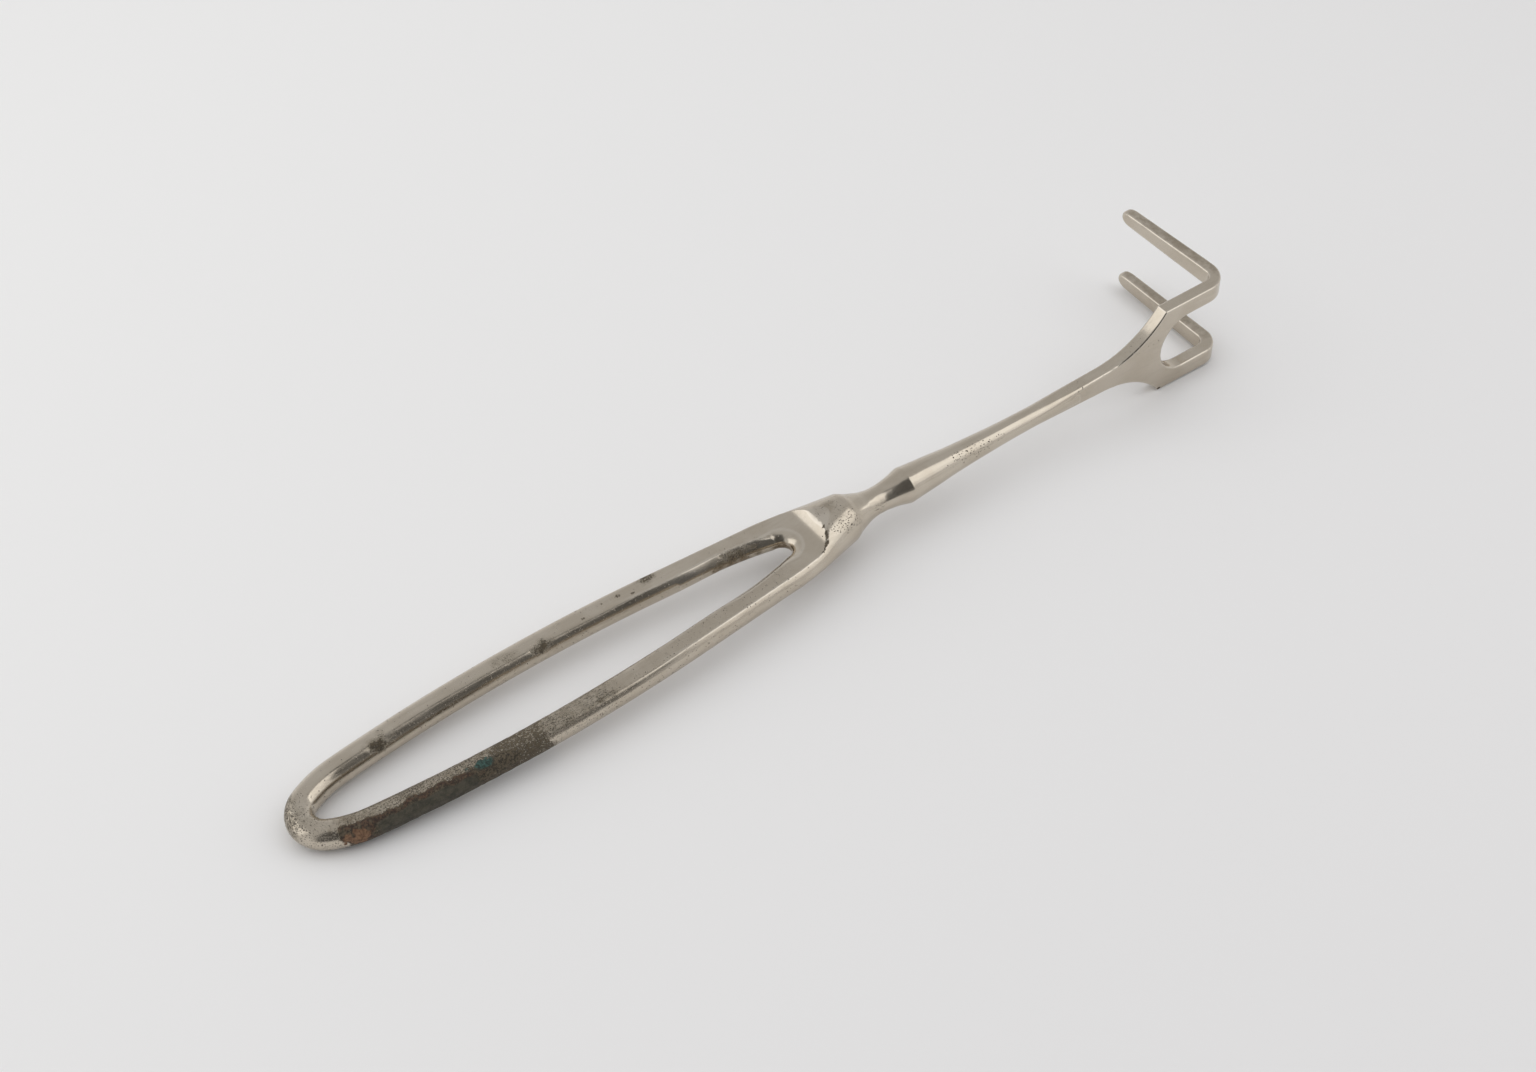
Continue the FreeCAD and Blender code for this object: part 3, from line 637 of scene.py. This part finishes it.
class Nodes:
    """Short names for the nodes of one material or world."""

    def __init__(self, tree, space="Object", scale=1000.0):
        """The place is a space of the texture coordinates times a scale, as a rule in millimetres."""
        self.tree = tree
        source = self.add("ShaderNodeTexCoord")
        times = self.add("ShaderNodeVectorMath", operation="SCALE")
        times.inputs["Scale"].default_value = scale
        tree.links.new(source.outputs[space], times.inputs[0])
        self.place = times.outputs["Vector"]

    def add(self, kind, **settings):
        """A new node."""
        node = self.tree.nodes.new(kind)
        for key, value in settings.items():
            setattr(node, key, value)
        return node

    def put(self, socket, value):
        """Link the socket to another one, or set its value."""
        if isinstance(value, bpy.types.NodeSocket):
            self.tree.links.new(value, socket)
        else:
            socket.default_value = value

    def math(self, operation, a, b=0.0, clamp=False):
        """Result of one operation on numbers or sockets."""
        node = self.add("ShaderNodeMath", operation=operation, use_clamp=clamp)
        self.put(node.inputs[0], a)
        self.put(node.inputs[1], b)
        return node.outputs[0]

    def times(self, a, b):
        return self.math("MULTIPLY", a, b)

    def plus(self, a, b, clamp=False):
        return self.math("ADD", a, b, clamp)

    def minus(self, a, b):
        return self.math("SUBTRACT", a, b)

    def most(self, a, b):
        return self.math("MAXIMUM", a, b)

    def noise(self, per_mm, detail=2.0, rough=0.5, stretch=None):
        """Noise from 0 to 1, with about per_mm features in a millimetre."""
        node = self.add("ShaderNodeTexNoise")
        vector = self.place
        if stretch:
            squeeze = self.add("ShaderNodeVectorMath", operation="MULTIPLY")
            squeeze.inputs[1].default_value = stretch
            self.tree.links.new(vector, squeeze.inputs[0])
            vector = squeeze.outputs["Vector"]
        self.tree.links.new(vector, node.inputs["Vector"])
        node.inputs["Scale"].default_value = per_mm
        node.inputs["Detail"].default_value = detail
        node.inputs["Roughness"].default_value = rough
        return node.outputs[0]

    def ramp(self, value, low, high, to_low=0.0, to_high=1.0):
        """Smooth step between low and high."""
        node = self.add("ShaderNodeMapRange", interpolation_type="SMOOTHSTEP")
        for key, v in (("Value", value), ("From Min", low), ("From Max", high),
                       ("To Min", to_low), ("To Max", to_high)):
            self.put(node.inputs[key], v)
        return node.outputs[0]

    def mix(self, factor, a, b):
        """Colour a where the factor is 0, colour b where it is 1."""
        node = self.add("ShaderNodeMix", data_type="RGBA")
        self.put(node.inputs[0], factor)
        self.put(node.inputs[6], a)
        self.put(node.inputs[7], b)
        return node.outputs[2]

    def marks(self, name):
        """The three kinds of wear that a mesh attribute carries."""
        node = self.add("ShaderNodeAttribute", attribute_name=name)
        split = self.add("ShaderNodeSeparateColor")
        self.tree.links.new(node.outputs["Color"], split.inputs[0])
        return list(split.outputs)[:3]

    def spots(self, per_mm, density, size):
        """Round pits, one in some of the cells: how much of each point is pit."""
        node = self.add("ShaderNodeTexVoronoi")
        self.tree.links.new(self.place, node.inputs["Vector"])
        node.inputs["Scale"].default_value = per_mm
        split = self.add("ShaderNodeSeparateColor")
        self.tree.links.new(node.outputs["Color"], split.inputs[0])
        there = self.math("LESS_THAN", split.outputs[0], density)
        reach = self.math("MULTIPLY_ADD", split.outputs[1], size * 0.6)
        reach.node.inputs[2].default_value = size * 0.4
        inside = self.minus(reach, node.outputs["Distance"])
        return self.times(self.ramp(inside, 0.0, size * 0.45), there)


def plating(kit, haze, edge, broad, fine, streak):
    """Colour of the plating: brighter where it is rubbed along the edges, brown where film lies on it."""
    nickel = kit.mix(kit.ramp(broad, 0.35, 0.65), *NICKEL)
    nickel = kit.mix(kit.times(kit.ramp(streak, 0.5, 0.72), 0.22), nickel, STREAK)
    nickel = kit.mix(kit.times(edge, 0.6), nickel, RUBBED)
    return kit.mix(haze, nickel, kit.mix(kit.ramp(fine, 0.4, 0.6), *BROWN))


def rusted(kit, warm, cool, middle, fine, speck):
    """Colour of the rusted steel and its tints: red and clay where it is warm, slate and green where cool."""
    rust = kit.mix(kit.ramp(fine, 0.4, 0.62), *RUST)
    rust = kit.mix(kit.ramp(speck, 0.56, 0.66), rust, PALE_RUST)
    reddened = kit.times(kit.ramp(warm, 0.12, 0.45), kit.ramp(middle, 0.4, 0.56, 0.15, 0.95))
    rust = kit.mix(reddened, rust, kit.mix(kit.ramp(fine, 0.4, 0.64), *RED))
    caked = kit.times(kit.ramp(warm, 0.55, 0.85), kit.ramp(middle, 0.3, 0.5, 0.6, 1.0))
    rust = kit.mix(caked, rust, kit.mix(kit.ramp(fine, 0.36, 0.6), *CLAY))
    slate = kit.mix(kit.ramp(middle, 0.35, 0.62), *SLATE)
    rust = kit.mix(kit.times(kit.ramp(cool, 0.15, 0.45), 0.8), rust, slate)
    green = kit.ramp(kit.plus(cool, kit.times(fine, 0.5)), 0.85, 1.1)
    return kit.mix(green, rust, kit.mix(kit.ramp(fine, 0.42, 0.6), *TEAL))


def metal():
    """Nickel plating with its film, dirt, rust and pits."""
    mat = bpy.data.materials.new("worn_nickel")
    mat.use_nodes = True
    shader = mat.node_tree.nodes["Principled BSDF"]
    kit = Nodes(mat.node_tree)
    pits, black, film = kit.marks("wear_one")
    warm, cool, grime = kit.marks("wear_two")
    edge = kit.marks("wear_three")[0]
    broad, middle = kit.noise(0.16, 3), kit.noise(0.8, 4, 0.6)
    fine, speck = kit.noise(2.2, 5, 0.7), kit.noise(3.4, 4, 0.75)
    streak = kit.noise(2.2, 2, 0.5, (0.05, 0.8, 0.8))
    # film lies in patches, and is half rubbed off the edges
    haze = kit.times(film, kit.ramp(middle, 0.3, 0.6, 0.55, 1.0))
    haze = kit.times(haze, kit.ramp(edge, 0.0, 1.0, 1.0, 0.5))
    colour = plating(kit, haze, edge, broad, fine, streak)
    # dirt held in the grain of the plating
    dull = kit.mix(kit.ramp(middle, 0.38, 0.62), *DIRT)
    colour = kit.mix(kit.times(grime, 0.75), colour, dull)
    limit = kit.minus(0.66, kit.times(grime, 0.19))
    grains = kit.ramp(kit.minus(speck, limit), -0.02, 0.05)
    grains = kit.times(grains, kit.ramp(grime, 0.1, 0.35))
    colour = kit.mix(kit.times(grains, 0.9), colour, GRAIN)
    # where the plating is gone, with ragged rims
    ragged = kit.times(kit.minus(fine, 0.5), 1.6)
    gone = kit.ramp(kit.plus(black, ragged), 0.4, 0.54)
    gone = kit.most(gone, kit.most(kit.ramp(warm, 0.6, 0.8), kit.ramp(cool, 0.6, 0.85)))
    # pits
    holes = 0.0
    for per_mm, share, size in PIT_LAYERS:
        holes = kit.most(holes, kit.spots(per_mm, kit.times(pits, share), size))
    colour = kit.mix(kit.times(holes, 0.85), colour, PIT)
    rust = rusted(kit, warm, cool, middle, fine, speck)
    kit.put(shader.inputs["Base Color"], kit.mix(gone, colour, rust))
    # all that covers or lacks plating is less metallic and rougher
    cover = kit.most(kit.times(gone, 0.88), kit.times(holes, 0.6))
    cover = kit.most(cover, kit.times(grains, 0.75))
    kit.put(shader.inputs["Metallic"], kit.minus(1.0, cover))
    rough = kit.ramp(streak, 0.3, 0.7, 0.16, 0.23)
    rough = kit.plus(rough, kit.times(haze, 0.09))
    rough = kit.plus(rough, kit.times(grime, 0.13))
    rough = kit.plus(rough, kit.times(cover, 0.42), clamp=True)
    kit.put(shader.inputs["Roughness"], rough)
    # pits and grains lie deep, and rust stands out
    height = kit.times(kit.most(holes, grains), -1.0)
    height = kit.plus(height, kit.times(kit.times(gone, fine), 1.4))
    bump = kit.add("ShaderNodeBump")
    bump.inputs["Strength"].default_value = 0.55
    bump.inputs["Distance"].default_value = 0.0001
    kit.put(bump.inputs["Height"], height)
    kit.put(shader.inputs["Normal"], bump.outputs["Normal"])
    return mat


# Floor: its paper carries painted shade, lit on one side and darker on the other. The direction that the
# painted shade runs in, as metres in a millimetre; from where to where, in metres; and its two colours, the
# lit one and the painted shaded one
FLOOR_SHADE_WAY, FLOOR_SHADE_SPAN = (0.00035, -0.00094, 0.0), (-0.3, 0.25)
PAPER_LIT_AND_SHADED = (0.94, 0.935, 0.93, 1), (0.815, 0.806, 0.808, 1)


def floor():
    """Sheet of pale paper just under the instrument, with shade painted on it: lighter on one side, darker on
    the other.
    """
    bpy.ops.mesh.primitive_plane_add(size=8.0, location=(0, 0, -0.00005))
    plane = bpy.context.object
    plane.name = "studio_floor"
    mat = bpy.data.materials.new("paper_with_painted_shade")
    mat.use_nodes = True
    shader = mat.node_tree.nodes["Principled BSDF"]
    kit = Nodes(mat.node_tree)
    way = kit.add("ShaderNodeVectorMath", operation="DOT_PRODUCT")
    way.inputs[1].default_value = FLOOR_SHADE_WAY
    kit.put(way.inputs[0], kit.place)
    # painted shade: the paper's colour runs from lit to darker across the floor
    kit.put(shader.inputs["Base Color"], kit.mix(kit.ramp(way.outputs["Value"], *FLOOR_SHADE_SPAN), *PAPER_LIT_AND_SHADED))
    shader.inputs["Roughness"].default_value = 0.9
    shader.inputs["Specular IOR Level"].default_value = 0.0
    plane.data.materials.append(mat)


# Upright panel in two parts: name, lower and upper edge in metres, bearings of its sides in degrees,
# radiance; and how far away it stands
PANEL = (("lamp_right_middle", 0.16, 0.32, -67, -18, 0.98), ("lamp_right_top", 0.32, 1.2, -65, -18, 1.22))
PANEL_AWAY = 0.5
# Room: its walls low down and higher up, and its dark side
WALLS, DARK = ((0.76, 0.76, 0.76, 1), (0.56, 0.56, 0.56, 1)), (0.12, 0.12, 0.12, 1)


def softbox(name, way, distance, width, height, radiance, upright=False):
    """A rectangular lamp that faces the instrument, in metres, given by its surface's radiance."""
    way = Vector(way).normalized()
    facing = Vector((way.x, way.y, 0.0)).normalized() if upright else way
    lamp = bpy.data.lights.new(name, "AREA")
    lamp.shape = "RECTANGLE"
    lamp.size, lamp.size_y = width, height
    lamp.energy = radiance * math.pi * width * height
    holder = bpy.data.objects.new(name, lamp)
    holder.location = way * distance
    holder.rotation_euler = (-facing).to_track_quat("-Z", "Y").to_euler()
    bpy.context.scene.collection.objects.link(holder)
    return holder


def lights():
    """A panel on the right in two parts, one at the back, and a soft lamp above."""
    for name, low, high, left, right, radiance in PANEL:
        middle, half = math.radians((left + right) / 2), math.radians((right - left) / 2)
        way = Vector((PANEL_AWAY * math.cos(middle), PANEL_AWAY * math.sin(middle), (low + high) / 2))
        softbox(name, way, way.length, 2 * PANEL_AWAY * math.tan(half), high - low, radiance, upright=True)
    softbox("lamp_back_left", (-0.803, 0.464, 0.375), distance=0.8, width=0.75, height=0.7, radiance=0.74)
    fill = softbox("lamp_above", (-0.08, 0.05, 1.0), distance=1.0, width=2.4, height=2.4, radiance=0.418)
    fill.visible_glossy = False


def room():
    """Light walls that the metal mirrors, dark on the near side."""
    world = bpy.data.worlds.new("studio")
    bpy.context.scene.world = world
    world.use_nodes = True
    tree = world.node_tree
    kit = Nodes(tree, "Generated", 1.0)
    way = kit.add("ShaderNodeSeparateXYZ")
    kit.put(way.inputs[0], kit.place)
    x, y, z = way.outputs
    bearing, height = kit.math("ARCTAN2", y, x), kit.math("ARCSINE", z)

    def turn(value, low, high, to_low=0.0, to_high=1.0):
        """Smooth step between two angles in degrees."""
        return kit.ramp(value, low * math.radians(1), high * math.radians(1), to_low, to_high)

    # the dark side reaches neither overhead nor below the panel
    dark = kit.times(turn(bearing, -158, -144), turn(bearing, -30, -18, 1.0, 0.0))
    dark = kit.times(dark, turn(height, 70, 82, 1.0, 0.0))
    below = kit.times(turn(bearing, -70, -64), turn(height, 15, 19, 1.0, 0.0))
    dark = kit.times(dark, kit.minus(1.0, below))
    walls = kit.mix(turn(height, 0.0, 40), *WALLS)
    kit.put(tree.nodes["Background"].inputs["Color"], kit.mix(dark, walls, DARK))


# Camera: its heading, its tilt up from straight down and its roll in degrees, its place in millimetres;
# focal length and width of the photograph in pixels, and the sensor's width in millimetres
HEADING, TILT, TWIST = -33.69864, 44.36263, -1.07922
CAMERA_AT = (-158.4347, -235.2409, 292.0142)
FOCAL, WIDTH, SENSOR = 2097.3, 1536, 36.0


def camera():
    """The photograph's camera."""
    lens = bpy.data.cameras.new("camera")
    lens.sensor_fit = "HORIZONTAL"
    lens.sensor_width = SENSOR
    lens.lens = FOCAL / WIDTH * SENSOR
    lens.clip_start, lens.clip_end = 0.01, 50.0
    holder = bpy.data.objects.new("camera", lens)
    stand = Matrix.Translation(Vector(CAMERA_AT) / 1000)
    for angle, axis in ((HEADING, "Z"), (TILT, "X"), (TWIST, "Z")):
        stand = stand @ Matrix.Rotation(math.radians(angle), 4, axis)
    holder.matrix_world = stand
    bpy.context.scene.collection.objects.link(holder)
    bpy.context.scene.camera = holder


piece = build_piece()
piece.data.materials.append(metal())
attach(piece, "root")
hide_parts("retractor")
floor()
lights()
room()
camera()
scene = bpy.context.scene
scene.view_settings.view_transform = "Standard"
